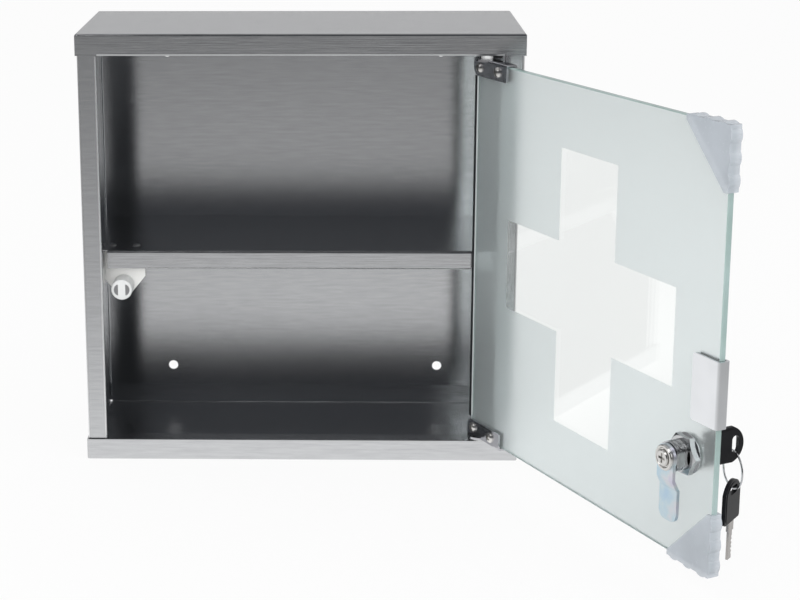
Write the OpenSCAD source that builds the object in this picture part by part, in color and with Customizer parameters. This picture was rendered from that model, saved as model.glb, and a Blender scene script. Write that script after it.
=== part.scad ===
// Lockable wall cabinet for medicines: a folded steel box with a frosted glass door.
// X runs to the right, Y to the back and Z up. The origin is on the back face, at the
// centre of the four wall holes. Door pieces are drawn shut and then swung open.

/* [Cabinet] */
// Width over the caps
cabinet_w = 300; // [270:10:400]
// Height over the caps
cabinet_h = 300; // [280:10:400]
// Depth from the wall to the front lips
cabinet_d = 120; // [100:5:180]
// Thickness of the steel sheet
sheet_t = 0.8; // [0.6:0.1:1]
// Outside radius of the folded edges
bend_r = 1.6; // [1.4:0.1:2.2]

/* [Caps] */
// Height of the front and side lips
lip_h = 14.8; // [12:0.2:18]
// Depth of the return folded in from the front lip
lip_return = 12.5; // [11:0.5:16]
// Height of the lip inside the back panel
rear_lip_h = 15; // [10:1:20]

/* [Front jambs] */
// Width of each jamb from the outside of the cabinet
jamb_w = 14; // [12:0.5:18]
// Depth of the return folded in from each jamb
jamb_return = 14; // [12:0.5:18]
// Setback of the jambs behind the front lips
jamb_setback = 1.6; // [1.2:0.1:3]

/* [Wall holes] */
// Distance from each wall hole to the nearer side
wall_in_x = 50; // [30:5:80]
// Distance from each wall hole to the nearer of the top and the bottom
wall_in_z = 30; // [25:5:60]
// Diameter of each wall hole
wall_hole_d = 7; // [4:0.5:9]

/* [Shelf] */
// Height of the shelf's top face over the middle of the cabinet
shelf_z = -3; // [-10:1:10]
// Height of the shelf's front lip
shelf_lip_h = 12.7; // [8:0.1:13]
// Height of the flanges that hold the shelf to the sides and back
shelf_flange_h = 12; // [8:1:16]

/* [Door glass] */
// Thickness of the glass
glass_t = 4; // [3:0.5:5]
// Setback of the shut glass behind the front lips
glass_setback = 2; // [1.9:0.1:3]
// Gap between the glass and the hinge-side jamb
hinge_gap = 4; // [3.8:0.1:6]
// Gap between the glass and the lock-side jamb
free_gap = 5; // [4.6:0.1:7]
// Gap between the glass and the lips above and below it
rail_gap = 4.2; // [4:0.1:6]
// Angle that the door stands open
open_angle = 117.1; // [90:0.1:140]
// Thickness of the frosted layer
film_t = 0.2; // [0.1:0.05:0.3]
// Length of each arm pair of the clear cross
cross_size = 180; // [120:5:190]
// Width of the cross's arms
cross_arm = 60; // [30:2:70]

/* [Hinges] */
// Distance from the glass edge to the pivot axis
pivot_in = 7.8; // [6.5:0.1:9]
// Length of each hinge clamp
clamp_len = 40.6; // [34:0.2:50]
// Height of each hinge clamp
clamp_h = 12; // [11:0.5:18]
// Thickness of the clamp's plates
clamp_t = 1.5; // [1:0.1:1.8]
// Radius of the round ear that carries the pivot
ear_r = 8.5; // [7:0.1:9.5]
// Diameter of the pivot pin
pivot_d = 3; // [2.4:0.1:3]
// Diameter of the bush's collar
collar_d = 8; // [6:0.5:9]

/* [Handle clip] */
// Height of the handle clip
clip_h = 40; // [34:1:60]
// Width of the handle clip's plates
clip_w = 21.5; // [18:0.5:24]
// Thickness of the clip's plates
clip_t = 1.5; // [1:0.1:1.8]
// Height of the clip's middle over the middle of the cabinet
clip_z = -22.4; // [-25:0.2:-20]

/* [Magnetic catch] */
// Diameter of the catch's barrel
barrel_d = 14.6; // [12:0.2:16]
// Length of the barrel in front of its bracket
barrel_len = 14.4; // [10:0.2:18]
// Height of the barrel's axis over the middle of the cabinet
catch_z = -29; // [-31:0.5:-28]
// Width of the catch's bracket
catch_w = 30; // [26:1:34]

/* [Lock] */
// Distance from the free edge of the glass to the lock's axis
lock_in = 24; // [22:0.5:30]
// Height of the lock's axis over the middle of the cabinet
lock_z = -64.5; // [-72:0.5:-62]
// Diameter of the threaded lock body
lock_d = 18; // [16:0.5:20]
// Width of the nut across its flats
nut_af = 22; // [21.5:0.5:24]
// Length of the cam from its axis to its tip
cam_len = 39; // [34:0.5:39]
// Width of the cam
cam_w = 16; // [12:0.5:17]

/* [Keys] */
// Length of the key's bow
bow_len = 26; // [22:1:30]
// Width of the key's bow
bow_w = 22; // [16:1:24]
// Thickness of the key's bow
bow_t = 3; // [2.5:0.1:4]
// Length of the key's blade
blade_len = 18; // [14:0.5:18]
// Diameter of the ring through the middle of its wire
ring_d = 23; // [20:0.5:28]
// Diameter of the ring's wire
ring_wire_d = 1.2; // [0.8:0.1:1.6]

/* [Corner guards] */
// Length of each leg of a corner guard
guard_leg = 37; // [30:1:50]
// Thickness of a guard beyond the face of the glass
guard_t = 1.85; // [1.2:0.05:2.4]
// Reach of the guard's waves beyond the edge of the glass
guard_wave = 2.2; // [1.6:0.1:2.6]

/* [Hidden] */

$fn = 48;

// Clearances and overruns
seam = 0.1;             // between lapped sheets
pin_play = 0.08;        // radial, round the turning pivot
hole_play = 0.1;        // radial, round fixed screws and rivets
cut = 1;                // how far a cut runs past a face
bend_steps = 5;         // facets round a folded corner

// Cabinet faces
half_w = cabinet_w / 2;
half_h = cabinet_h / 2;
front_y = -cabinet_d;
body_half_w = half_w - sheet_t - seam;
body_half_h = half_h - bend_r;
jamb_in = half_w - jamb_w;
jamb_y = front_y + jamb_setback;
return_end_y = jamb_y + jamb_return;
back_in_y = -sheet_t;
wall_pitch_x = cabinet_w - 2 * wall_in_x;
wall_pitch_z = cabinet_h - 2 * wall_in_z;

// Caps
lip_z = half_h - lip_h;
rail_half_w = jamb_in - 3 * seam;
buffer_in = 5;
buffer_y = front_y + buffer_in;
rear_lip_y = back_in_y - seam;
rear_lip_half_w = body_half_w - bend_r - seam;

// Shelf
shelf_gap = 0.4;
shelf_y = return_end_y + shelf_gap;
shelf_half_w = body_half_w - sheet_t - seam;
shelf_lip_clear = 1.8;
shelf_lip_half_w = jamb_in - shelf_lip_clear;
shelf_rear_y = back_in_y - seam;
shelf_corner = 2;
shelf_under_z = shelf_z - sheet_t;

// Glass, shut
hinge_edge_x = jamb_in - hinge_gap;
free_edge_x = -jamb_in + free_gap;
glass_w = hinge_edge_x - free_edge_x;
glass_mid_x = (hinge_edge_x + free_edge_x) / 2;
glass_half_h = lip_z - rail_gap;
glass_out_y = front_y + glass_setback;
glass_in_y = glass_out_y + glass_t;
glass_mid_y = (glass_out_y + glass_in_y) / 2;
film_y = glass_in_y + film_t;
arris = 0.5;

// Hinges
pivot_x = hinge_edge_x - pivot_in;
liner_t = 0.5;
liner_bevel = 0.2;
clamp_over = 2;
clamp_in = 2 * liner_t + glass_t;
clamp_half_t = clamp_in / 2 + clamp_t;
clamp_bend_r = clamp_t + 0.5 * liner_t;
web_z = glass_half_h + liner_t;
clamp_top_z = web_z + clamp_t;
clamp_right_x = hinge_edge_x + clamp_over;
clamp_left_x = clamp_right_x - clamp_len;
clamp_low_r = 6;
clamp_corner_r = 1.5;
screw_d = 4;
screw_head_d = 7.4;
screw_head_h = 2.5;
screw_near_in = 5.6;
screw_far_in = 28;
screw_drop = 6.4;
screw_turn = 20;
cross_len_share = 0.6;
cross_w_share = 0.15;
cross_depth_share = 0.65;
screw_z = clamp_top_z - screw_drop;
screw_xs = [hinge_edge_x - screw_near_in, hinge_edge_x - screw_far_in];
pivot_head_h = 0.4;
pivot_head_over = 0.8;
pivot_head_d = pivot_d + 2 * pivot_head_over;
bush_wall = 0.7;
bush_r = pivot_d / 2 + pin_play + bush_wall;
bush_rise = 5;
bush_gap = 0.15;
bush_lip = 0.4;
bush_top_z = lip_z + bush_rise;
pin_short = 0.6;
buffer_d = 6;
buffer_from_jamb = 4;
buffer_x = jamb_in - buffer_from_jamb;
buffer_gap = 0.3;
buffer_stem_r = 1.1;
buffer_barb_r = 1.6;

// Handle clip, shut
clip_in = 2 * liner_t + glass_t;
clip_half_t = clip_in / 2 + clip_t;
clip_bend_r = clip_t + 0.5 * liner_t;
clip_end_x = free_edge_x - liner_t - clip_t;
clip_start_x = free_edge_x + clip_w;
clip_face_y = glass_mid_y + clip_half_t;
clip_corner_r = 2;

// Magnetic catch
catch_gap = 0.3;
pole_sink = 0.4;
catch_t = 1.2;
catch_off_clip = 2.75;
catch_x = (clip_end_x + clip_start_x) / 2 - catch_off_clip;
barrel_r = barrel_d / 2;
barrel_face_y = clip_face_y + catch_gap;
catch_y = barrel_face_y + barrel_len;
catch_leaf_d = 14;
catch_skirt_h = 19;
catch_round_over = 0.5;
catch_round_r = barrel_r + catch_round_over;
catch_bend_r = 2.4;
rivet_d = 3;
rivet_head_d = 5.6;
rivet_head_h = 0.9;
rivet_reach = 8.5;
rivet_share = 0.28;
rivet_xs = [catch_x - catch_w * rivet_share, catch_x + catch_w * rivet_share];
catch_shoulder = 1.8;
catch_neck_r = barrel_r - catch_shoulder;
catch_snap_over = 0.9;
catch_snap_h = 1.6;
pole_w = 3;
pole_mid = 4;
pole_len_share = 0.52;
pole_h = barrel_d * pole_len_share;
pole_arc_r = 4.3;
pole_depth = 10;
magnet_t = 2 * (pole_mid - pole_w / 2);
magnet_back = 1.4;

// Lock
lock_x = free_edge_x + lock_in;
lock_hole_play = 0.3;
lock_flat_share = 0.84;
lock_flat = lock_d * lock_flat_share;
head_d = 22;
head_h = 2.7;
head_round = 1.1;
lock_reach = 13.6;
lock_back_y = glass_in_y + lock_reach;
lock_front_y = glass_out_y - head_h;
washer_over = 1.25;
washer_d = nut_af + 2 * washer_over;
washer_t = 1;
thread_pitch = 1.25;
thread_depth = 0.6;
thread_start = 5;
nut_h = 4.2;
nut_chamfer = 1;
plug_r = 6;
plug_play = 0.1;
plug_rim_r = 7.4;
plug_rim_h = 1.2;
plug_proud = 0.2;
plug_face_y = lock_front_y - plug_proud;
cam_square = 8;
cam_play = 0.08;
cam_t = 2;
cam_gap = 0.5;
cam_eye_y = lock_back_y + cam_gap;
cam_drop = 3;
cam_bend_start = 12.5;
cam_bend_end = 18.5;
cam_eye_over = 0.2;
cam_eye_r = cam_w / 2 + cam_eye_over;
cam_neck_in = 0.7;
cam_tip_r = 5.5;
plug_end_y = cam_eye_y + cam_t;
cam_screw_d = 5;
cam_screw_head_d = 9.8;
cam_screw_head_h = 2;
cam_screw_round = 0.6;
cam_screw_len = 4.4;
cup_r = 7.6;
cup_in_r = 5.6;
cup_h = 1.8;
cup_floor = 0.7;
cup_round = 0.5;

// Keys, drawn with the bow's far end towards -Y
blade_t = 1.4;
blade_h = 4.8;
neck_len = 6;
neck_w = 7.2;
neck_t = 2.2;
tang_len = 9;
tang_w = 6.4;
tang_t = 1.6;
key_play = 0.12;
key_seat = 0.3;
key_y = plug_face_y - key_seat;
bow_hole_r = 2.6;
bow_hole_in = 6;
bow_slot = 5.8;         // between the centres of the slot's round ends
bow_arch_share = 0.53;
bow_corner = 1;
bow_pad_share = 0.72;
bow_rib_t = 0.35;
bow_play = 0.02;
notch_start = 4.4;
notch_count = 5;
notch_pitch = 2.6;
notch_d = 1.7;
notch_depth_shares = [0.12, 0.24, 0.16, 0.28, 0.14];
bow_hole_y = key_y - neck_len - bow_len + bow_hole_in;
ring_r = ring_d / 2;
wire_r = ring_wire_d / 2;
ring_rest = 0.2;
ring_turn = -11;
spare_turn = 29;
// How far a wire that crosses a bow's slot at an angle stays off the side it rests on
function crossing_lift(turn) =
    let (side = bow_t / 2 * abs(tan(turn)) + wire_r)
    bow_hole_r - sqrt(bow_hole_r * bow_hole_r - side * side)
        + bow_t * bow_t / (8 * ring_r) + ring_rest;
ring_top_z = lock_z - bow_slot / 2 - bow_hole_r + wire_r + crossing_lift(ring_turn);
ring_z = ring_top_z - ring_r;
spare_hole_z = ring_z - ring_r + wire_r - bow_hole_r + crossing_lift(spare_turn - ring_turn);

// Corner guards
guard_edge = 1.1;
guard_wave_count = 3;
guard_wave_pitch = (guard_leg + guard_edge) / guard_wave_count;
guard_wave_r = guard_wave_pitch * 0.56;
guard_tip = 2;

// Folded sheet: a strip of thickness t to the left of a path with square corners.
// The outside of each corner has the radius r.
function heading(p, i) = (p[i + 1] - p[i]) / norm(p[i + 1] - p[i]);
function left_of(v) = [-v.y, v.x];
function spin(v, a) = [v.x * cos(a) - v.y * sin(a), v.x * sin(a) + v.y * cos(a)];
function corner_points(p, i, off, r, t) =
    let (a = heading(p, i - 1), b = heading(p, i))
    let (s = sign(a.x * b.y - a.y * b.x))
    let (path_r = s > 0 ? r : r - t)
    let (centre = p[i] - a * path_r + left_of(a) * s * path_r)
    let (arm = s > 0 ? r - off : r - t + off)
    [for (k = [0:bend_steps]) centre + spin(-left_of(a) * s * arm, 90 * s * k / bend_steps)];
function fold_side(p, off, r, t) = [
    for (i = [0:len(p) - 1])
        each i == 0 ? [p[0] + left_of(heading(p, 0)) * off]
            : i == len(p) - 1 ? [p[i] + left_of(heading(p, i - 1)) * off]
            : corner_points(p, i, off, r, t)];
function backwards(v) = [for (i = [len(v) - 1:-1:0]) v[i]];
module folded(path, r, t) {
    polygon(concat(fold_side(path, 0, r, t), backwards(fold_side(path, t, r, t))));
}

// Profiles drawn in (Y, Z), (X, Z) and (X, Y), pulled along the axis left over
module along_x(from, to) {
    translate([from, 0, 0]) rotate([90, 0, 90]) linear_extrude(to - from) children();
}
module along_y(from, to) {
    translate([0, to, 0]) rotate([90, 0, 0]) linear_extrude(to - from) children();
}
module along_z(from, to) {
    translate([0, 0, from]) linear_extrude(to - from) children();
}
module rod_y(r, from, to) {
    translate([0, to, 0]) rotate([90, 0, 0]) cylinder(r = r, h = to - from);
}
module box(low, high) {
    translate(low) cube(high - low);
}
module rounded(size, r) {
    // A rectangle from the origin with four round corners, without offset()
    translate([r, 0]) square([size.x - 2 * r, size.y]);
    translate([0, r]) square([size.x, size.y - 2 * r]);
    for (x = [r, size.x - r], y = [r, size.y - r]) translate([x, y]) circle(r);
}
module bevelled(size, c) {
    // A rectangle about the origin with its corners cut at 45 degrees
    w = size.x / 2;
    h = size.y / 2;
    polygon([[-w + c, -h], [w - c, -h], [w, -h + c], [w, h - c],
             [w - c, h], [-w + c, h], [-w, h - c], [-w, -h + c]]);
}
module lower() {
    mirror([0, 0, 1]) children();
}
module swung_open() {
    translate([pivot_x, glass_mid_y, 0]) rotate([0, 0, open_angle])
        translate([-pivot_x, -glass_mid_y, 0]) children();
}
module on_lock() {
    translate([lock_x, 0, lock_z]) children();
}

// Cabinet
module body_shell() {
    path = [[jamb_in, return_end_y], [jamb_in, jamb_y], [body_half_w, jamb_y],
            [body_half_w, 0], [-body_half_w, 0], [-body_half_w, jamb_y],
            [-jamb_in, jamb_y], [-jamb_in, return_end_y]];
    color("silver") difference() {
        along_z(-body_half_h, body_half_h) folded(path, bend_r, sheet_t);
        for (x = [-1, 1], z = [-1, 1])
            translate([x * wall_pitch_x / 2, 0, z * wall_pitch_z / 2])
                rod_y(wall_hole_d / 2, -sheet_t - cut, cut);
    }
}

// The tray's outline is rounded along the front edge and along both side edges
module cap_block(inset, low_z) {
    r = bend_r - inset;
    top = half_h - inset;
    front = front_y + inset;
    side = half_w - inset;
    intersection() {
        along_x(-side, side)
            polygon(concat([[0, low_z], [0, top]],
                [for (k = [0:bend_steps])
                    [front + r, top - r] + r * spin([0, 1], 90 * k / bend_steps)],
                [[front, low_z]]));
        along_y(front, 0)
            polygon(concat([[-side, low_z]],
                [for (k = [0:bend_steps])
                    [-side + r, top - r] + r * spin([-1, 0], -90 * k / bend_steps)],
                [for (k = [0:bend_steps])
                    [side - r, top - r] + r * spin([0, 1], -90 * k / bend_steps)],
                [[side, low_z]]));
    }
}
module cap(buffer_hole) {
    color("lightgray") difference() {
        union() {
            difference() {
                cap_block(0, lip_z);
                cap_block(sheet_t, lip_z - cut);
                // The back panel stands in this slot
                box([-half_w + sheet_t, rear_lip_y, lip_z - cut],
                    [half_w - sheet_t, cut, half_h + cut]);
            }
            along_x(-rail_half_w, rail_half_w)
                folded([[front_y, lip_z + 2 * bend_r], [front_y, lip_z],
                        [front_y + lip_return, lip_z]], bend_r, sheet_t);
            along_x(-rear_lip_half_w, rear_lip_half_w)
                folded([[rear_lip_y, half_h - rear_lip_h], [rear_lip_y, half_h],
                        [rear_lip_y - 2 * bend_r, half_h]], bend_r, sheet_t);
        }
        translate([pivot_x, glass_mid_y, lip_z - cut])
            cylinder(r = bush_r + hole_play, h = bend_r + 2 * cut);
        if (buffer_hole) translate([buffer_x, buffer_y, lip_z - cut])
            cylinder(r = buffer_stem_r + hole_play, h = bend_r + 2 * cut);
    }
}
module top_cap() cap(true);
module bottom_cap() lower() cap(false);

module shelf() {
    plate = [[-shelf_half_w, shelf_y], [shelf_half_w, shelf_y],
             [shelf_half_w, shelf_rear_y - shelf_corner],
             [shelf_half_w - shelf_corner, shelf_rear_y],
             [-shelf_half_w + shelf_corner, shelf_rear_y],
             [-shelf_half_w, shelf_rear_y - shelf_corner]];
    flange_y = shelf_y + shelf_corner;
    color("lightsteelblue") difference() {
        union() {
            difference() {
                along_z(shelf_under_z, shelf_z) polygon(plate);
                // The lip's fold takes the place of the plate's square front edge
                box([-shelf_half_w - cut, shelf_y - cut, shelf_under_z - cut],
                    [shelf_half_w + cut, shelf_y + bend_r, shelf_z + cut]);
            }
            along_x(-shelf_lip_half_w, shelf_lip_half_w)
                folded([[shelf_y + bend_r + sheet_t, shelf_z], [shelf_y, shelf_z],
                        [shelf_y, shelf_z - shelf_lip_h]], bend_r, sheet_t);
            for (s = [-1, 1]) scale([s, 1, 1])
                along_y(flange_y, shelf_rear_y - shelf_corner)
                    folded([[shelf_half_w, shelf_z - shelf_flange_h], [shelf_half_w, shelf_z],
                            [shelf_half_w - 2 * bend_r, shelf_z]], bend_r, sheet_t);
            along_x(-shelf_half_w + 2 * shelf_corner, shelf_half_w - 2 * shelf_corner)
                folded([[shelf_rear_y, shelf_z - shelf_flange_h], [shelf_rear_y, shelf_z],
                        [shelf_rear_y - 2 * bend_r, shelf_z]], bend_r, sheet_t);
        }
        for (x = rivet_xs)
            translate([x, catch_y + rivet_reach, shelf_under_z - cut])
                cylinder(d = rivet_d + 2 * hole_play, h = sheet_t + 2 * cut);
    }
}

// Magnetic catch, hung from the shelf
function tangent_point(c, r, p, side) =
    let (v = p - c)
    c + spin(v / norm(v), side * acos(r / norm(v))) * r;
module catch_bracket() {
    top = shelf_under_z - seam;
    low = top - catch_skirt_h;
    c = [catch_x, catch_z];
    right = [catch_x + catch_w / 2, low];
    left = [catch_x - catch_w / 2, low];
    color("whitesmoke") difference() {
        union() {
            along_x(catch_x - catch_w / 2, catch_x + catch_w / 2)
                folded([[catch_y + catch_leaf_d, top], [catch_y, top], [catch_y, low]],
                       catch_bend_r, catch_t);
            along_y(catch_y, catch_y + catch_t) {
                polygon([left, right, tangent_point(c, catch_round_r, right, -1), c,
                         tangent_point(c, catch_round_r, left, 1)]);
                translate(c) circle(catch_round_r);
            }
        }
        translate([catch_x, 0, catch_z])
            rod_y(catch_neck_r + seam, catch_y - cut, catch_y + catch_t + cut);
        for (x = rivet_xs)
            translate([x, catch_y + rivet_reach, top - catch_t - cut])
                cylinder(d = rivet_d + 2 * hole_play, h = catch_t + 2 * cut);
    }
}
module catch_rivets() {
    low = shelf_under_z - seam - catch_t;
    color("gray") for (x = rivet_xs) translate([x, catch_y + rivet_reach, 0]) {
        translate([0, 0, low - rivet_head_h])
            rotate_extrude() dome(rivet_head_d / 2, rivet_head_h);
        translate([0, 0, low]) cylinder(d = rivet_d, h = shelf_z - low);
        translate([0, 0, shelf_z + rivet_head_h])
            mirror([0, 0, 1]) rotate_extrude() dome(rivet_head_d / 2, rivet_head_h);
    }
}
// Half outline of a low head: flat face down at y = h, crown at y = 0
module dome(r, h) {
    polygon(concat([[0, 0]], [for (k = [1:6]) [r * sin(15 * k), h * (1 - cos(15 * k))]],
                   [[0, h]]));
}
module catch_barrel() {
    edge = 1.2;
    rim = catch_neck_r + catch_snap_over;
    color("white") translate([catch_x, catch_y, catch_z]) difference() {
        rotate([90, 0, 0]) rotate_extrude()
            polygon(concat([[0, -catch_t - catch_snap_h], [catch_neck_r, -catch_t - catch_snap_h],
                [rim, -catch_t - seam], [catch_neck_r, -catch_t - seam], [catch_neck_r, 0],
                [barrel_r, 0]],
                [for (k = [0:4])
                    [barrel_r - edge, barrel_len - edge] + edge * spin([1, 0], 22.5 * k)],
                [[0, barrel_len]]));
        along_y(-barrel_len - cut, -barrel_len + pole_depth) pole_outlines();
        along_y(-barrel_len + magnet_back, -barrel_len + pole_depth)
            square([magnet_t, pole_h], true);
    }
}
module catch_magnet() {
    color("dimgray") translate([catch_x, 0, catch_z])
        along_y(barrel_face_y + magnet_back, barrel_face_y + pole_depth)
            square([magnet_t, pole_h], true);
}
module catch_pole_plates() {
    color("darkgray") translate([catch_x, 0, catch_z])
        along_y(barrel_face_y + pole_sink, barrel_face_y + pole_depth) pole_outlines();
}
// Two D shapes with their round sides outwards
module pole_outlines() {
    for (s = [-1, 1]) intersection() {
        translate([s * (pole_mid + pole_w / 2 - pole_arc_r), 0]) circle(pole_arc_r);
        translate([s * pole_mid, 0]) square([pole_w, pole_h], true);
    }
}

// Pivot bushes in the lips' returns
module pivot_bush() {
    collar_low = clamp_top_z + bush_gap;
    under = lip_z;
    over = lip_z + sheet_t;
    color("black") translate([pivot_x, glass_mid_y, 0]) rotate_extrude()
        polygon([[pivot_d / 2 + pin_play, collar_low], [collar_d / 2, collar_low],
                 [collar_d / 2, under], [bush_r, under], [bush_r, over],
                 [bush_r + bush_lip, over + bush_lip], [bush_r, over + 3 * bush_lip],
                 [bush_r, bush_top_z], [pivot_d / 2 + pin_play, bush_top_z]]);
}
module upper_pivot_bush() pivot_bush();
module lift_buffer() {
    // Rubber stud that keeps the door from being lifted off its lower bush
    over = lip_z + sheet_t + seam;
    color([0.1, 0.1, 0.1]) translate([buffer_x, buffer_y, 0]) rotate_extrude()
        polygon([[0, clamp_top_z + buffer_gap], [buffer_d / 2, clamp_top_z + buffer_gap],
                 [buffer_d / 2, lip_z], [buffer_stem_r, lip_z], [buffer_stem_r, over],
                 [buffer_barb_r, over], [buffer_stem_r, over + bend_r], [0, over + bend_r]]);
}
module lower_pivot_bush() lower() pivot_bush();

// Door glass
module glass_pane() {
    color("lightcyan", 0.4) swung_open() difference() {
        intersection() {
            translate([glass_mid_x, 0, 0]) along_y(glass_out_y, glass_in_y)
                bevelled([glass_w, 2 * glass_half_h], arris);
            translate([glass_mid_x, glass_mid_y, 0])
                along_z(-glass_half_h, glass_half_h) bevelled([glass_w, glass_t], arris);
            translate([0, glass_mid_y, 0])
                along_x(free_edge_x, hinge_edge_x) bevelled([glass_t, 2 * glass_half_h], arris);
        }
        on_lock() rod_y(lock_d / 2 + lock_hole_play, glass_out_y - cut, film_y + cut);
    }
}
module frosted_film() {
    color("whitesmoke", 0.8) swung_open() difference() {
        along_y(glass_in_y, film_y) difference() {
            translate([glass_mid_x, 0])
                square([glass_w - 2 * arris, 2 * (glass_half_h - arris)], true);
            translate([glass_mid_x, 0]) {
                square([cross_size, cross_arm], true);
                square([cross_arm, cross_size], true);
            }
        }
        on_lock() rod_y(lock_d / 2 + lock_hole_play, glass_out_y - cut, film_y + cut);
    }
}

// Hinge clamps: a folded channel over the glass edge, with an ear round the pivot
module clamp_outline() {
    w = clamp_len;
    translate([clamp_left_x, clamp_top_z - clamp_h]) {
        translate([clamp_corner_r, 0]) square([w - clamp_corner_r - clamp_low_r, clamp_h]);
        translate([0, clamp_corner_r]) square([w - clamp_low_r, clamp_h - 2 * clamp_corner_r]);
        translate([0, clamp_low_r]) square([w, clamp_h - clamp_low_r]);
        translate([w - clamp_low_r, clamp_low_r]) circle(clamp_low_r);
        for (z = [clamp_corner_r, clamp_h - clamp_corner_r])
            translate([clamp_corner_r, z]) circle(clamp_corner_r);
    }
}
module hinge_bracket() {
    front = glass_mid_y - clamp_half_t;
    back = glass_mid_y + clamp_half_t;
    low = clamp_top_z - clamp_h;
    color("gainsboro") difference() {
        union() {
            intersection() {
                along_x(clamp_left_x, clamp_right_x)
                    folded([[back, low], [back, clamp_top_z], [front, clamp_top_z],
                            [front, low]], clamp_bend_r, clamp_t);
                along_y(front - cut, back + cut) clamp_outline();
            }
            intersection() {
                translate([pivot_x, glass_mid_y, web_z]) cylinder(r = ear_r, h = clamp_t);
                box([pivot_x - ear_r - cut, glass_mid_y, web_z - cut],
                    [pivot_x + ear_r + cut, back + ear_r, clamp_top_z + cut]);
            }
        }
        translate([pivot_x, glass_mid_y, web_z - cut])
            cylinder(d = pivot_d, h = clamp_t + 2 * cut);
        for (x = screw_xs) translate([x, 0, screw_z])
            rod_y(screw_d / 2 + hole_play, glass_mid_y, back + cut);
    }
}
module upper_hinge_bracket() swung_open() hinge_bracket();
module lower_hinge_bracket() swung_open() lower() hinge_bracket();

module hinge_liner() {
    front = glass_mid_y - clamp_in / 2;
    back = glass_mid_y + clamp_in / 2;
    low = clamp_top_z - clamp_h + clamp_corner_r;
    left = clamp_left_x + clamp_corner_r;
    color("dimgray") difference() {
        along_x(left, hinge_edge_x)
            polygon([[front, low], [back, low], [back, web_z - liner_bevel],
                     [back - liner_bevel, web_z], [front + liner_bevel, web_z],
                     [front, web_z - liner_bevel]]);
        box([left - cut, glass_out_y, low - cut], [hinge_edge_x + cut, film_y, glass_half_h]);
        translate([pivot_x, glass_mid_y, glass_half_h - cut])
            cylinder(d = pivot_head_d + 2 * hole_play, h = liner_t + 2 * cut);
        // Rounded with the clamp at its lower corner
        translate([hinge_edge_x, 0, low]) rotate([0, 45, 0])
            box([-clamp_low_r / 2, front - cut, -clamp_low_r / 2],
                [clamp_low_r / 2, back + cut, clamp_low_r / 2]);
    }
}
module upper_hinge_liner() swung_open() hinge_liner();
module lower_hinge_liner() swung_open() lower() hinge_liner();

module pivot_pin() {
    color("silver") translate([pivot_x, glass_mid_y, 0]) rotate_extrude()
        polygon([[0, web_z - pivot_head_h], [pivot_head_d / 2, web_z - pivot_head_h],
                 [pivot_head_d / 2, web_z], [pivot_d / 2, web_z],
                 [pivot_d / 2, bush_top_z - 2 * pin_short],
                 [pivot_d / 2 - pin_short, bush_top_z - pin_short],
                 [0, bush_top_z - pin_short]]);
}
module upper_pivot_pin() swung_open() pivot_pin();
module lower_pivot_pin() swung_open() lower() pivot_pin();

// Cross recess of a driver, sunk from the head's crown, which faces +Y at y
module cross_recess(size, arm, y, depth) {
    for (a = [0, 90]) rotate([0, a, 0])
        along_y(y - depth, y + cut) square([size, arm], true);
}
module hinge_screws() {
    head_y = glass_mid_y + clamp_half_t;
    color("silver") for (x = screw_xs) translate([x, 0, screw_z]) difference() {
        union() {
            rod_y(screw_d / 2, glass_mid_y + clamp_in / 2, head_y);
            translate([0, head_y + screw_head_h, 0]) rotate([90, 0, 0])
                rotate_extrude() dome(screw_head_d / 2, screw_head_h);
        }
        rotate([0, screw_turn, 0])
            cross_recess(screw_head_d * cross_len_share, screw_head_d * cross_w_share,
                         head_y + screw_head_h, screw_head_h * cross_depth_share);
    }
}
module upper_hinge_screws() swung_open() hinge_screws();
module lower_hinge_screws() swung_open() lower() hinge_screws();

// Handle clip on the free edge
module clip_rounding(inset) {
    translate([clip_end_x - cut, clip_z - clip_h / 2 + inset])
        square([clip_start_x - clip_end_x + cut - clip_corner_r, clip_h - 2 * inset]);
    translate([clip_start_x - 2 * clip_corner_r, clip_z - clip_h / 2 + clip_corner_r])
        square([2 * clip_corner_r, clip_h - 2 * clip_corner_r]);
    for (s = [-1, 1])
        translate([clip_start_x - clip_corner_r, clip_z + s * (clip_h / 2 - clip_corner_r)])
            circle(clip_corner_r - inset);
}
module handle_clip() {
    front = glass_mid_y - clip_half_t;
    back = glass_mid_y + clip_half_t;
    color("gainsboro") swung_open() intersection() {
        along_z(clip_z - clip_h / 2, clip_z + clip_h / 2)
            folded([[clip_start_x, back], [clip_end_x, back], [clip_end_x, front],
                    [clip_start_x, front]], clip_bend_r, clip_t);
        along_y(front - cut, back + cut) clip_rounding(0);
    }
}
module clip_liner() {
    front = glass_mid_y - clip_in / 2;
    back = glass_mid_y + clip_in / 2;
    low = clip_z - clip_h / 2;
    right = clip_start_x - clip_corner_r;
    left = free_edge_x - liner_t;
    color("black") swung_open() difference() {
        along_z(low, low + clip_h)
            polygon([[right, front], [right, back], [left + liner_bevel, back],
                     [left, back - liner_bevel], [left, front + liner_bevel],
                     [left + liner_bevel, front]]);
        box([free_edge_x, glass_out_y, low - cut], [right + cut, film_y, low + clip_h + cut]);
    }
}

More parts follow.
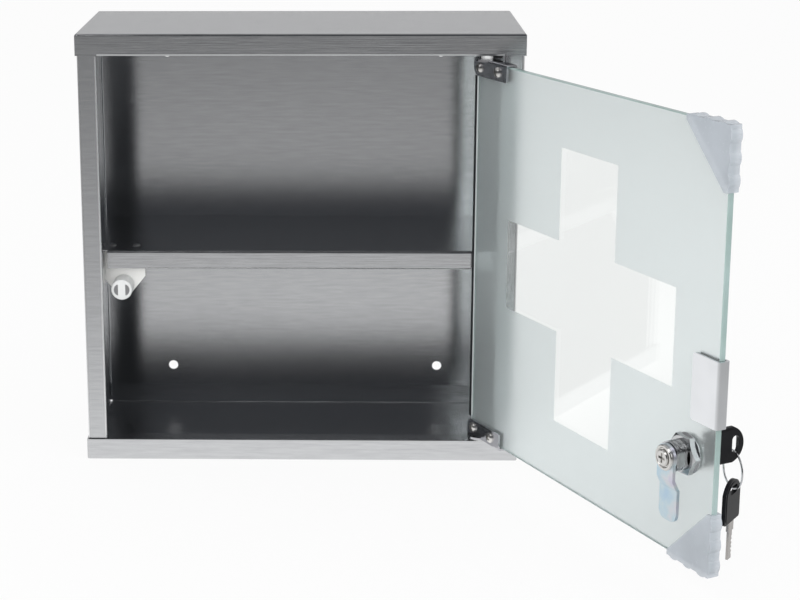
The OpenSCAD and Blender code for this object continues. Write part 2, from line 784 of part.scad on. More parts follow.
// Corner guards: pockets over the free corners, with a waved outer edge
module guard_outline() {
    leg = guard_leg;
    polygon([[-guard_edge, -guard_edge], [leg, -guard_edge], [leg, guard_tip],
             [guard_tip, leg], [-guard_edge, leg]]);
    intersection() {
        polygon([[-guard_wave, -guard_wave], [leg, -guard_wave], [leg, guard_tip],
                 [guard_tip, leg], [-guard_wave, leg]]);
        for (i = [0:guard_wave_count - 1]) {
            at = -guard_edge + (i + 0.5) * guard_wave_pitch;
            translate([at, guard_wave_r - guard_wave]) circle(guard_wave_r);
            translate([guard_wave_r - guard_wave, at]) circle(guard_wave_r);
        }
    }
}
module corner_guard() {
    color("lightsteelblue", 0.7) difference() {
        translate([free_edge_x, 0, glass_half_h])
            along_y(glass_out_y - guard_t, film_y + guard_t) scale([1, -1]) guard_outline();
        box([free_edge_x, glass_out_y, 0], [free_edge_x + 2 * guard_leg, film_y, glass_half_h]);
    }
}
module upper_corner_guard() swung_open() corner_guard();
module lower_corner_guard() swung_open() lower() corner_guard();

// Cam lock through the glass. Its thread is drawn as rings.
module thread_body() {
    count = floor((lock_back_y - glass_out_y - thread_start) / thread_pitch);
    first = lock_back_y - count * thread_pitch;
    crest = lock_d / 2;
    root = crest - thread_depth;
    // The revolved outline counts its lengths from the glass's outer face to the back
    translate([0, glass_out_y, 0]) rotate([-90, 0, 0]) rotate_extrude()
        polygon(concat([[0, -cut], [crest, -cut]],
            [for (i = [0:count - 1], k = [0, 1])
                [k == 0 ? crest : root, first - glass_out_y + (i + k / 2) * thread_pitch]],
            [[crest, lock_back_y - glass_out_y], [0, lock_back_y - glass_out_y]]));
}
module lock_body() {
    color("silver") swung_open() on_lock() difference() {
        union() {
            translate([0, glass_out_y, 0]) rotate([90, 0, 0]) rotate_extrude()
                polygon(concat([[0, 0], [head_d / 2, 0]],
                    [for (k = [0:4]) [head_d / 2 - head_round, head_h - head_round]
                        + head_round * spin([1, 0], 22.5 * k)], [[0, head_h]]));
            intersection() {
                thread_body();
                along_y(glass_out_y - cut, lock_back_y) square([lock_flat, 2 * lock_d], true);
            }
        }
        rod_y(plug_r + plug_play, lock_front_y - cut, lock_back_y + cut);
        rod_y(plug_rim_r + plug_play, lock_front_y - cut, lock_front_y + plug_rim_h);
    }
}
module lock_bore(from, to) {
    along_y(from - cut, to + cut) intersection() {
        circle(lock_d / 2 + hole_play);
        square([lock_flat + 2 * hole_play, 2 * lock_d], true);
    }
}
module lock_washer() {
    color("silver") swung_open() on_lock() difference() {
        rod_y(washer_d / 2, film_y, film_y + washer_t);
        lock_bore(film_y, film_y + washer_t);
    }
}
module lock_nut() {
    low = film_y + washer_t;
    color("silver") swung_open() on_lock() difference() {
        intersection() {
            along_y(low, low + nut_h) circle(d = nut_af / cos(30), $fn = 6);
            translate([0, low, 0]) rotate([-90, 0, 0]) rotate_extrude()
                polygon([[0, 0], [nut_af / 2 / cos(30), 0],
                         [nut_af / 2 / cos(30), nut_h - nut_chamfer],
                         [nut_af / 2, nut_h], [0, nut_h]]);
        }
        rod_y(lock_d / 2 + hole_play, low - cut, low + nut_h + cut);
    }
}
module lock_plug() {
    color("lightgray") swung_open() on_lock() difference() {
        union() {
            rod_y(plug_r, plug_face_y, lock_back_y + plug_proud);
            rod_y(plug_rim_r, plug_face_y, lock_front_y + plug_rim_h - plug_play);
            along_y(lock_back_y, plug_end_y) square([cam_square, cam_square], true);
        }
        // Keyway
        along_y(plug_face_y - cut, key_y + blade_len + key_play + key_seat)
            square([blade_t + 2 * key_play, blade_h + 2 * key_play], true);
        rod_y(cam_screw_d / 2, plug_end_y - cam_screw_len, plug_end_y + cut);
    }
}
module lock_cam() {
    // Drawn in (Y, Z) from the eye down to the tip, joggled towards the glass
    a = cam_eye_y;
    b = cam_eye_y - cam_drop;
    color("lightsteelblue") swung_open() on_lock() difference() {
        intersection() {
            along_x(-cam_w, cam_w)
                polygon([[a, cam_w], [a, -cam_bend_start], [b, -cam_bend_end], [b, -cam_len],
                         [b + cam_t, -cam_len], [b + cam_t, -cam_bend_end - cam_t / 4],
                         [a + cam_t, -cam_bend_start - cam_t / 4], [a + cam_t, cam_w]]);
            along_y(b - cut, a + cam_t + cut) {
                circle(cam_eye_r);
                translate([0, -cam_len / 2 + cam_tip_r / 2])
                    square([cam_w - 2 * cam_neck_in, cam_len - cam_tip_r], true);
                translate([-cam_w / 2, -cam_len + cam_tip_r])
                    square([cam_w, cam_len - cam_bend_end - cam_tip_r]);
                translate([-cam_w / 2 + cam_tip_r, -cam_len])
                    square([cam_w - 2 * cam_tip_r, cam_tip_r]);
                for (s = [-1, 1])
                    translate([s * (cam_w / 2 - cam_tip_r), -cam_len + cam_tip_r])
                        circle(cam_tip_r);
            }
        }
        along_y(a - cut, a + cam_t + cut)
            square([cam_square + 2 * cam_play, cam_square + 2 * cam_play], true);
    }
}
module cam_washer() {
    // Cupped, so that the screw's head sits in it
    color("silver") swung_open() on_lock() translate([0, plug_end_y, 0])
        rotate([-90, 0, 0]) rotate_extrude()
            polygon([[cam_screw_d / 2 + hole_play, 0], [cup_r, 0], [cup_r, cup_h - cup_round],
                     [cup_r - cup_round, cup_h], [cup_in_r + cup_round, cup_h],
                     [cup_in_r, cup_h - cup_round], [cup_in_r, cup_floor],
                     [cam_screw_d / 2 + hole_play, cup_floor]]);
}
module cam_screw() {
    seat = plug_end_y + cup_floor;
    crown = seat + cam_screw_head_h;
    color("silver") swung_open() on_lock() difference() {
        union() {
            rod_y(cam_screw_d / 2, plug_end_y - cam_screw_len + seam, seat);
            translate([0, seat, 0]) rotate([-90, 0, 0]) rotate_extrude()
                polygon([[0, 0], [cam_screw_head_d / 2, 0],
                         [cam_screw_head_d / 2, cam_screw_head_h - cam_screw_round],
                         [cam_screw_head_d / 2 - cam_screw_round, cam_screw_head_h],
                         [0, cam_screw_head_h]]);
        }
        cross_recess(cam_screw_head_d * cross_len_share, cam_screw_head_d * cross_w_share, crown,
                     cam_screw_head_h * cross_depth_share);
    }
}

// Keys: the shoulder stands at y = 0, the blade runs to +Y and the bow to -Y
module key_blade_shape() {
    color("silver") difference() {
        union() {
            along_y(-neck_len, blade_len) square([blade_t, blade_h], true);
            along_y(-neck_len, 0) bevelled([neck_t, neck_w], neck_t / 4);
            along_y(-neck_len - tang_len, -neck_len / 2) square([tang_t, tang_w], true);
        }
        // Bitting along the lower edge
        for (i = [0:notch_count - 1])
            translate([-blade_t, notch_start + notch_pitch * i, -blade_h / 2])
                rotate([0, 90, 0])
                    scale([2 * notch_depth_shares[i] * blade_h / notch_d, 1, 1])
                        cylinder(d = notch_d, h = 2 * blade_t, $fn = 16);
        // Tip sloped for entry
        translate([-blade_t, blade_len, blade_h / 2]) rotate([45, 0, 0])
            cube([2 * blade_t, blade_h * 0.5, blade_h * 0.5], center = false);
        // Milled flute along the blade
        along_y(notch_start, blade_len + cut)
            translate([blade_t / 2, blade_h * 0.12]) square([blade_t * 0.5, blade_h * 0.22], true);
    }
}
module bow_outline(inset) {
    w = bow_w / 2 - inset;
    arch_r = bow_w * bow_arch_share - inset;
    far = -neck_len - bow_len + inset;
    near = -neck_len - inset;
    intersection() {
        translate([-w, far]) square([2 * w, near - far]);
        union() {
            translate([0, far + arch_r]) circle(arch_r);
            polygon([[-w, far + arch_r], [w, far + arch_r], [w, near - bow_corner],
                     [w - bow_corner, near], [-w + bow_corner, near], [-w, near - bow_corner]]);
        }
    }
}
module key_bow_shape() {
    pad = bow_w * bow_pad_share;
    color([0.12, 0.12, 0.14]) difference() {
        union() {
            rotate([0, 90, 0]) translate([0, 0, -bow_t / 2 + bow_rib_t])
                linear_extrude(bow_t - 2 * bow_rib_t) bow_outline(0);
            // A raised panel on each side
            rotate([0, 90, 0]) translate([0, 0, -bow_t / 2])
                linear_extrude(bow_t) bow_outline((bow_w - pad) / 4);
        }
        along_y(-neck_len - tang_len - hole_play, cut)
            square([tang_t + 2 * bow_play, tang_w + 2 * bow_play], true);
        // A long slot for the ring, across the bow
        translate([-bow_t, bow_hole_in - neck_len - bow_len, 0]) rotate([0, 90, 0]) {
            for (s = [-1, 1]) translate([s * bow_slot / 2, 0, 0])
                cylinder(r = bow_hole_r, h = 2 * bow_t);
            translate([-bow_slot / 2, -bow_hole_r, 0])
                cube([bow_slot, 2 * bow_hole_r, 2 * bow_t]);
        }
    }
}
module key_blade() swung_open() on_lock() translate([0, key_y, 0]) key_blade_shape();
module key_bow() swung_open() on_lock() translate([0, key_y, 0]) key_bow_shape();

module key_ring() {
    color("silver") swung_open() translate([lock_x, bow_hole_y, ring_z])
        rotate([0, 0, ring_turn]) rotate([90, 0, 0])
            rotate_extrude() translate([ring_r, 0]) circle(wire_r, $fn = 16);
}
module hung_spare() {
    // Bow slot on the lowest point of the ring, blade down
    swung_open() translate([lock_x, bow_hole_y, spare_hole_z])
        rotate([0, 0, spare_turn]) rotate([-90, 0, 0])
            translate([0, neck_len + bow_len - bow_hole_in, 0]) children();
}
module spare_key_blade() hung_spare() key_blade_shape();
module spare_key_bow() hung_spare() key_bow_shape();

body_shell();
top_cap();
bottom_cap();
shelf();
catch_bracket();
catch_rivets();
catch_barrel();
catch_magnet();
catch_pole_plates();
upper_pivot_bush();
lower_pivot_bush();
lift_buffer();
glass_pane();
frosted_film();
upper_hinge_bracket();
lower_hinge_bracket();
upper_hinge_liner();
lower_hinge_liner();
upper_pivot_pin();
lower_pivot_pin();
upper_hinge_screws();
lower_hinge_screws();
handle_clip();
clip_liner();
upper_corner_guard();
lower_corner_guard();
lock_body();
lock_nut();
lock_washer();
lock_plug();
lock_cam();
cam_washer();
cam_screw();
key_blade();
key_bow();
key_ring();
spare_key_blade();
spare_key_bow();
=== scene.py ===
import math

import bmesh
import bpy
from mathutils import Matrix, Vector


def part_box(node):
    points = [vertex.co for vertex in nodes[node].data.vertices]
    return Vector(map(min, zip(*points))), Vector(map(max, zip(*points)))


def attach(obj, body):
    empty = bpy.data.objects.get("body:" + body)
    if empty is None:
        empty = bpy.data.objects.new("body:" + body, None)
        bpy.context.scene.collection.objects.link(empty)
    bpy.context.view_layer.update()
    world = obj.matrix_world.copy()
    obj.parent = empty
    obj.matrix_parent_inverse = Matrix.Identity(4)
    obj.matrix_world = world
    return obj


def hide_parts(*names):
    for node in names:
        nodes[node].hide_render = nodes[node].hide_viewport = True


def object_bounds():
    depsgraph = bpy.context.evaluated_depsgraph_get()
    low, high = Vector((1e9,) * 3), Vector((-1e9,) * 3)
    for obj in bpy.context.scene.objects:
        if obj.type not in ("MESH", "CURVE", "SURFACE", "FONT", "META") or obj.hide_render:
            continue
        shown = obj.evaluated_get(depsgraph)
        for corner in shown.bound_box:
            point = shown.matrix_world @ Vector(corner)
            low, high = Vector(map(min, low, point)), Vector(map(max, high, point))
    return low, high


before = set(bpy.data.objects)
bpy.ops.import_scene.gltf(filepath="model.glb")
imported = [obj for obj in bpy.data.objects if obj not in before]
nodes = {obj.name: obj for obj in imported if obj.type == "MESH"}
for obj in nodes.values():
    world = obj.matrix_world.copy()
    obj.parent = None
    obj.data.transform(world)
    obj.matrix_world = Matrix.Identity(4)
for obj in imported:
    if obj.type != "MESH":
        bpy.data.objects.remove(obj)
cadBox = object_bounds()
scene = bpy.context.scene
print("stage: cabinet loaded,", len(nodes), "parts")


# Small helpers for materials

class Wire:
    # An output socket that takes part in sums

    def __init__(self, graph, socket):
        self.graph = graph
        self.socket = socket

    def maths(self, operation, first, second):
        return self.graph.maths(operation, first, second)

    def __add__(self, other):
        return self.maths("ADD", self, other)

    def __radd__(self, other):
        return self.maths("ADD", other, self)

    def __sub__(self, other):
        return self.maths("SUBTRACT", self, other)

    def __rsub__(self, other):
        return self.maths("SUBTRACT", other, self)

    def __mul__(self, other):
        return self.maths("MULTIPLY", self, other)

    def __rmul__(self, other):
        return self.maths("MULTIPLY", other, self)


class Finish:
    # One material, or the world, and its nodes

    def __init__(self, name, owner=None):
        self.owner = owner or bpy.data.materials.new(name)
        self.owner.use_nodes = True
        self.tree = self.owner.node_tree
        self.tree.nodes.clear()

    def maths(self, operation, *values):
        made = self.add("ShaderNodeMath", {"operation": operation}, dict(enumerate(values)))
        return self.out(made)

    def add(self, kind, settings=None, sockets=None):
        # Settings come first, as some change which sockets a node has
        made = self.tree.nodes.new(kind)
        for name, value in (settings or {}).items():
            if name == "stops":
                self.fillRamp(made.color_ramp, value)
            else:
                setattr(made, name, value)
        for name, value in (sockets or {}).items():
            if isinstance(value, Wire):
                self.tree.links.new(value.socket, made.inputs[name])
            else:
                made.inputs[name].default_value = value
        return made

    def fillRamp(self, ramp, stops):
        while len(ramp.elements) < len(stops):
            ramp.elements.new(0.5)
        for element, (place, colour) in zip(ramp.elements, stops):
            element.position = place
            element.color = (*colour, 1)

    def out(self, made, name=0):
        return Wire(self, made.outputs[name])

    def place(self, scale=(1, 1, 1)):
        # Where a point lies on the part, stretched by scale
        mapped = self.add("ShaderNodeMapping", None, {"Vector": self.coords("Object"), "Scale": scale})
        return self.out(mapped)

    def noise(self, scale, detail=3, stretch=(1, 1, 1)):
        made = self.add("ShaderNodeTexNoise", {"noise_dimensions": "3D"},
                        {"Vector": self.place(stretch), "Scale": scale, "Detail": detail})
        return self.out(made, "Fac")

    def facing(self, direction):
        # How far the surface faces along a direction of the part, from -1 to 1
        return self.vector("DOT_PRODUCT", self.coords("Normal"), direction, "Value")

    def ramp(self, value, stops):
        return self.out(self.add("ShaderNodeValToRGB", {"stops": stops}, {"Fac": value}), "Color")

    def blend(self, share, first, second):
        # Sockets 6 and 7 are the mix node's colours
        made = self.add("ShaderNodeMix", {"data_type": "RGBA"}, {0: share, 6: first, 7: second})
        return Wire(self, made.outputs[2])

    def bump(self, height, strength, distance):
        made = self.add("ShaderNodeBump", None,
                        {"Height": height, "Strength": strength, "Distance": distance})
        return self.out(made)

    def shader(self, sockets, kind="ShaderNodeBsdfPrincipled"):
        return self.out(self.add(kind, None, sockets))

    def glow(self, colour):
        return self.shader({"Color": colour, "Strength": 1.0}, "ShaderNodeEmission")

    def vector(self, operation, first, second=None, result=0):
        values = {0: first} if second is None else {0: first, 1: second}
        return self.out(self.add("ShaderNodeVectorMath", {"operation": operation}, values), result)

    def coords(self, kind):
        return self.out(self.add("ShaderNodeTexCoord"), kind)

    def between(self, value, low, high):
        # 0 below low, 1 above high
        return self.ramp(value, [(low, (0, 0, 0)), (high, (1, 1, 1))])

    def mottled(self, value, tone, shade):
        # The tone where value is high, a shade of it where value is low
        return self.ramp(value, [(0.3, [part * shade for part in tone]), (0.7, tone)])

    def mixShader(self, share, first, second):
        return self.out(self.add("ShaderNodeMixShader", None, {0: share, 1: first, 2: second}))

    def rays(self, *kinds):
        # 1 where the ray is of one of the kinds
        path = self.add("ShaderNodeLightPath")
        found = self.out(path, kinds[0])
        for kind in kinds[1:]:
            found = found + self.out(path, kind)
        return found

    def lightThrough(self, surface, tone):
        # Lets the lamps' light pass, tinted
        clear = self.shader({"Color": rgba(*tone)}, "ShaderNodeBsdfTransparent")
        return self.mixShader(self.rays("Is Shadow Ray"), surface, clear)

    def finish(self, surface):
        self.add("ShaderNodeOutputMaterial", None, {"Surface": surface})
        return self.owner


def rgba(red, green, blue, alpha=1):
    return (red, green, blue, alpha)


openAngle = math.radians(117.1)
doorOut = (math.sin(openAngle), -math.cos(openAngle), 0)     # out of the glass's outer face
doorAlong = (math.cos(openAngle), math.sin(openAngle), 0)    # from its free edge to its hinges


# Steel sheet

steelLook = {
    "tone": (0.63, 0.638, 0.65),
    "dark": (0.55, 0.557, 0.57),
    "roughnessSpread": 0.04,
    "streaks": 5200,        # per metre, across the grain
    "alongGrain": 22,       # per metre, along the grain
    "coarse": (520, 60),    # the broader streaks that the eye picks out
    "longer": 2.6,          # the long streaks against the fine ones
    "grainShares": (0.6, 0.4),              # fine and long streaks
    "mottleShares": (0.45, 0.40, 0.15),     # grain, broad streaks, clouds
    "toneStops": (0.36, 0.60),
    "cloudScale": 6,
    "cloudSpread": 0.04,
    "broadBump": 0.5,
    "depth": 0.0004,
    "stretchTurn": 0.25,    # a quarter turn, so that reflections on the walls stretch up and down
}

grainLooks = {
    # across lists the axes that the grain's fine lines are counted along
    "wrap": {"across": "Z", "roughness": 0.17, "stretched": 1.0, "bump": 0.06},
    "sheet": {"across": "YZ", "roughness": 0.17, "stretched": 0.0, "bump": 0.22},
}


def brushedSteel(name, grainLook, look=steelLook):
    graph = Finish(name)
    stretch = [look["streaks"] if axis in grainLook["across"] else look["alongGrain"]
               for axis in "XYZ"]
    streaks = graph.noise(1, 2, stretch)
    longStreaks = graph.noise(1, 1, [size / look["longer"] for size in stretch])
    broad = graph.noise(1, 2, [look["coarse"][0 if axis in grainLook["across"] else 1]
                               for axis in "XYZ"])
    clouds = graph.noise(look["cloudScale"], 3)
    fineShare, longShare = look["grainShares"]
    grain = streaks * fineShare + longStreaks * longShare
    grainShare, broadShare, cloudShare = look["mottleShares"]
    mottle = grain * grainShare + broad * broadShare + clouds * cloudShare
    colour = graph.ramp(mottle, list(zip(look["toneStops"], (look["dark"], look["tone"]))))
    rough = (grainLook["roughness"] + (grain - 0.5) * look["roughnessSpread"]
             + (clouds - 0.5) * look["cloudSpread"])
    return graph.finish(graph.shader({
        "Base Color": colour, "Metallic": 1.0, "Roughness": rough,
        "Anisotropic": grainLook["stretched"], "Anisotropic Rotation": look["stretchTurn"],
        "Normal": graph.bump(grain + broad * look["broadBump"], grainLook["bump"], look["depth"])}))


polishLook = {"marks": 240, "handling": 45, "shade": 0.93, "bump": 0.03, "depth": 0.0003}


def polishedSteel(name, tone, roughness, wear=0.05, look=polishLook):
    graph = Finish(name)
    marks = graph.noise(look["marks"], 4)
    handling = graph.noise(look["handling"], 2)
    colour = graph.mottled(handling, tone, look["shade"])
    rough = roughness + marks * wear + (handling - 0.5) * wear
    return graph.finish(graph.shader({
        "Base Color": colour, "Metallic": 1.0, "Roughness": rough,
        "Normal": graph.bump(marks, look["bump"], look["depth"])}))


threadLook = {
    "tone": (0.60, 0.61, 0.62),
    "roughness": 0.16,
    "pitch": 0.0009,
    "bump": 0.5,
    "depth": 0.0003,
    "wear": 200,            # worn patches per metre
    "wornShade": 0.8,
    "wornRoughness": 0.08,
    "flats": (0.93, 0.99),  # how squarely a face looks along the door before it is a flat
}


def threadedSteel(name, look=threadLook):
    # Plated steel with fine turns along the lock's axis
    graph = Finish(name)
    along = graph.vector("DOT_PRODUCT", graph.coords("Object"), doorOut, "Value")
    turns = graph.maths("SINE", along * (2 * math.pi / look["pitch"]))
    # No turns on the two flats, which face along the door
    flats = graph.facing(doorAlong)
    side = 1 - graph.between(flats * flats, *look["flats"])
    worn = graph.noise(look["wear"], 3)
    return graph.finish(graph.shader({
        "Base Color": graph.mottled(worn, look["tone"], look["wornShade"]), "Metallic": 1.0,
        "Roughness": look["roughness"] + worn * look["wornRoughness"],
        "Normal": graph.bump(turns * side, look["bump"], look["depth"])}))


zincLook = {
    # Pale passivated zinc: bluish, with faint rainbow patches
    "patches": 60,
    "tones": [(0.30, (0.50, 0.66, 0.80)), (0.45, (0.62, 0.74, 0.80)),
              (0.55, (0.72, 0.74, 0.78)), (0.70, (0.64, 0.60, 0.76))],
    "roughness": 0.26,
    "roughnessSpread": 0.12,
    "marks": 300,
    "grain": 500,
    "bump": 0.06,
    "depth": 0.0003,
}


def zincPlate(name, look=zincLook):
    graph = Finish(name)
    marks = graph.noise(look["marks"], 2)
    return graph.finish(graph.shader({
        "Base Color": graph.ramp(graph.noise(look["patches"], 3), look["tones"]), "Metallic": 1.0,
        "Roughness": look["roughness"] + marks * look["roughnessSpread"],
        "Normal": graph.bump(graph.noise(look["grain"], 3), look["bump"], look["depth"])}))


plasticLook = {"pores": 900, "patches": 30, "shade": 0.94, "roughnessSpread": 0.10, "depth": 0.0002}


def plastic(name, tone, roughness, grain=0.05, coat=0.0, ior=1.5, look=plasticLook):
    graph = Finish(name)
    pores = graph.noise(look["pores"], 3)
    colour = graph.mottled(graph.noise(look["patches"], 2), tone, look["shade"])
    return graph.finish(graph.shader({
        "Base Color": colour, "Roughness": roughness + (pores - 0.5) * look["roughnessSpread"],
        "Coat Weight": coat, "IOR": ior, "Normal": graph.bump(pores, grain, look["depth"])}))


# Glass and frosting

glassLook = {
    "tone": (0.97, 0.99, 0.98),
    "edgeTone": (0.36, 0.47, 0.46),
    "edgeShade": (0.28, 0.38, 0.36),
    "edgeRoughness": 0.25,
    "edgeCoat": 0.5,
    "roughness": 0.01,
    "ior": 1.5,
    "smears": 14,
    "clouds": 30,
    "faces": (0.90, 0.97),  # how squarely a surface looks out of the door before it is a face
    "lightTone": (0.93, 0.97, 0.95),
}

frostLook = {
    "tone": (0.80, 0.835, 0.84),
    "shade": (0.77, 0.81, 0.815),
    "through": (0.835, 0.865, 0.872),
    "throughRough": 0.55,
    "throughShare": 0.92,
    "throughIor": 1.12,
    "clouds": 9,
    "speckle": 1600,
    "roughness": 0.42,
    "roughnessSpread": 0.15,
    "bump": 0.05,
    "depth": 0.0002,
}


def clearGlass(look=glassLook):
    # Lets the lamps through, so the door throws only a light shadow
    graph = Finish("clear glass")
    smears = graph.noise(look["smears"], 4)
    flat = graph.facing(doorOut)
    body = graph.shader({
        "Base Color": rgba(*look["tone"]), "Roughness": look["roughness"] + smears * 0.01,
        "IOR": look["ior"], "Transmission Weight": 1.0})
    # The ground edges look milky green, because they show the glass from end to end
    edgeColour = graph.ramp(graph.noise(look["clouds"], 3),
                            [(0.35, look["edgeShade"]), (0.65, look["edgeTone"])])
    edge = graph.shader({"Base Color": edgeColour, "Roughness": look["edgeRoughness"] + smears * 0.1,
                         "Coat Weight": look["edgeCoat"]})
    faces = graph.mixShader(graph.between(flat * flat, *look["faces"]), edge, body)
    return graph.finish(graph.lightThrough(faces, look["lightTone"]))


def frosting(look=frostLook):
    graph = Finish("frosting")
    speckle = graph.noise(look["speckle"], 2)
    colour = graph.ramp(graph.noise(look["clouds"], 3), [(0.3, look["shade"]), (0.55, look["tone"])])
    face = graph.shader({
        "Base Color": colour, "Roughness": look["roughness"] + speckle * look["roughnessSpread"],
        "Normal": graph.bump(speckle, look["bump"], look["depth"])})
    through = graph.shader({
        "Base Color": rgba(*look["through"]), "Roughness": look["throughRough"],
        "IOR": look["throughIor"], "Transmission Weight": 1.0})
    return graph.finish(graph.lightThrough(graph.mixShader(look["throughShare"], face, through),
                                           look["tone"]))


guardLook = {
    "clouds": 40,
    "shade": 0.92,
    "alphaSpread": 0.1,
    "roughness": 0.22,
    "roughnessSpread": 0.08,
    "marks": 500,
    "coat": 0.3,
    "waves": 120,
    "bump": 0.08,
    "depth": 0.0004,
}


def softClear(name, tone, alpha, look=guardLook):
    graph = Finish(name)
    clouds = graph.noise(look["clouds"], 3)
    marks = graph.noise(look["marks"], 2)
    return graph.finish(graph.shader({
        "Base Color": graph.mottled(clouds, tone, look["shade"]),
        "Roughness": look["roughness"] + marks * look["roughnessSpread"],
        "Alpha": alpha + (clouds - 0.5) * look["alphaSpread"], "Coat Weight": look["coat"],
        "Normal": graph.bump(graph.noise(look["waves"], 2), look["bump"], look["depth"])}))


finishes = {
    "wrap": brushedSteel("steel, grain round the box", grainLooks["wrap"]),
    "sheet": brushedSteel("steel, grain across the box", grainLooks["sheet"]),
    "polished": polishedSteel("polished steel", (0.52, 0.52, 0.545), 0.09),
    "ring": polishedSteel("key ring steel", (0.72, 0.73, 0.75), 0.09),
    # Far brighter than the sheet's steel: a painted highlight, used on the jambs' folds and on the
    # shelf lip's edge
    "paintedHighlight": polishedSteel("steel with a painted highlight", (0.95, 0.955, 0.96), 0.42, 0.12),
    "rubbedLip": polishedSteel("rubbed lower edge of a lip", (0.64, 0.65, 0.66), 0.40, 0.12),
    "margin": plastic("bare margin of the glass", (0.62, 0.68, 0.68), 0.3),
    # Near-black, for the painted shade line along the glass's hinge edge
    "darkShade": plastic("painted shade line on the glass edge", (0.012, 0.014, 0.016), 0.5, 0.1),
    "clip": polishedSteel("polished clip steel", (0.86, 0.875, 0.90), 0.10),
    "screw": polishedSteel("screw steel", (0.74, 0.73, 0.71), 0.17, 0.1),
    "lock": polishedSteel("plated lock", (0.60, 0.61, 0.62), 0.15, 0.08),
    "thread": threadedSteel("threaded lock body"),
    "zinc": zincPlate("passivated zinc"),
    "keySteel": polishedSteel("key steel", (0.52, 0.50, 0.48), 0.22, 0.1),
    "glass": clearGlass(),
    "frost": frosting(),
    "guard": softClear("guard plastic", (0.60, 0.645, 0.70), 0.70),
    "white": plastic("white plastic", (0.76, 0.77, 0.765), 0.38, 0.06, 0.2),
    "enamel": plastic("bracket enamel", (0.90, 0.90, 0.88), 0.35, 0.04, 0.3),
    "pole": polishedSteel("pole steel", (0.42, 0.42, 0.43), 0.34, 0.1),
    "black": plastic("black plastic", (0.006, 0.006, 0.008), 0.40, 0.05, 0.0, 1.34),
    "rubber": plastic("black rubber", (0.02, 0.02, 0.022), 0.6, 0.10),
    "magnet": plastic("magnet", (0.05, 0.05, 0.055), 0.5, 0.1),
}

dress = {
    "wrap": ["body_shell"],
    "sheet": ["top_cap", "bottom_cap", "shelf"],
    "polished": ["upper_hinge_bracket", "lower_hinge_bracket"],
    "ring": ["key_ring"],
    "clip": ["handle_clip"],
    "screw": ["upper_hinge_screws", "lower_hinge_screws", "upper_pivot_pin", "lower_pivot_pin",
              "cam_washer", "cam_screw"],
    "pole": ["catch_pole_plates", "catch_rivets"],
    "lock": ["lock_nut", "lock_washer", "lock_plug"],
    "thread": ["lock_body"],
    "zinc": ["lock_cam"],
    "keySteel": ["key_blade", "spare_key_blade"],
    "glass": ["glass_pane"],
    "frost": ["frosted_film"],
    "guard": ["upper_corner_guard", "lower_corner_guard"],
    "white": ["catch_barrel", "upper_pivot_bush", "lower_pivot_bush"],
    "enamel": ["catch_bracket"],
    "black": ["key_bow", "spare_key_bow"],
    "rubber": ["upper_hinge_liner", "lower_hinge_liner", "clip_liner", "lift_buffer"],
    "magnet": ["catch_magnet"],
}
for finish, members in dress.items():
    for member in members:
        nodes[member].data.materials.clear()
        nodes[member].data.materials.append(finishes[finish])
print("stage: finishes set on", sum(len(members) for members in dress.values()), "parts")


# Pieces made here

def addPiece(name, mesh, finish, body):
    made = bpy.data.objects.new(name, mesh)
    made.data.materials.clear()
    made.data.materials.append(finishes[finish])
    scene.collection.objects.link(made)
    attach(made, body)
    return made


frostSheet = {"offTheGlass": 0.00005}


def addFrostSheet(look=frostSheet):
    # The frosting with a hair of air behind it, as its back would else lie in the glass's own face
    mesh = nodes["frosted_film"].data.copy()
    out = Vector(doorOut)
    back = max(point.co.dot(out) for point in mesh.vertices)
    for point in mesh.vertices:
        if back - point.co.dot(out) < look["offTheGlass"]:
            point.co -= out * look["offTheGlass"]
    sheet = addPiece("frostSheet", mesh, "frost", "door")
    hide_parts("frosted_film")


def barMesh(name, outline, direction, start, end):
    # A closed bar: an outline of points, run from start to end along a direction
    made = bmesh.new()
    along = Vector(direction)
    rings = [[made.verts.new(Vector(point) + along * reach) for point in outline]
             for reach in (start, end)]
    count = len(outline)
    for k in range(count):
        made.faces.new([rings[0][k], rings[0][(k + 1) % count], rings[1][(k + 1) % count], rings[1][k]])
    made.faces.new(rings[0])
    made.faces.new(rings[1])
    bmesh.ops.recalc_face_normals(made, faces=made.faces)
    mesh = bpy.data.meshes.new(name)
    made.to_mesh(mesh)
    made.free()
    return mesh


def arcBand(centre, across, up, radius, angles, proud, deep, steps=10):
    # The outline of a thin band on a fold, between two angles from across towards up
    centre, across, up = Vector(centre), Vector(across), Vector(up)

    def ring(size, share):
        angle = math.radians(angles[0] + (angles[1] - angles[0]) * share)
        return centre + (across * math.cos(angle) + up * math.sin(angle)) * size
    outer = [ring(radius + proud, k / steps) for k in range(steps + 1)]
    inner = [ring(radius - deep, 1 - k / steps) for k in range(steps + 1)]
    return outer + inner


foldShine = {
    "foldRadius": 0.0016,
    "proud": 0.00002,
    "deep": 0.0002,
    "innerEdge": 0.136,         # the jambs' two folds, from the middle of the cabinet
    "outerEdge": 0.1491,
    "jambFront": -0.1184,
    "jambReach": 0.1352,
    "innerAngles": (14, 66),    # from the front towards the side that the fold turns to
    "outerAngles": (30, 62),
}

lipEdges = {
    # The lower edges of the two front lips, each a slim bar that is proudest at one height. The top
    # lip's bar is rubbed steel. The shelf lip's bar is tilted up to catch the lamp and is painted
    # bright, a painted highlight
    "topLipEdge": {"front": -0.120, "low": 0.1352, "from": -0.1355, "to": 0.1355,
                   "proudAt": 0.0012, "finish": "rubbedLip"},
    # The shelf lip's edge: a painted highlight in bright steel, on top of the real lamp light that its
    # tilt catches
    "shelfLipEdge": {"front": -0.104, "low": -0.0157, "from": -0.1075, "to": 0.134,
                     "proudAt": 0.0002, "finish": "paintedHighlight"},
    "proud": 0.0005,
    "height": 0.0012,
    "sunk": 0.0001,
}


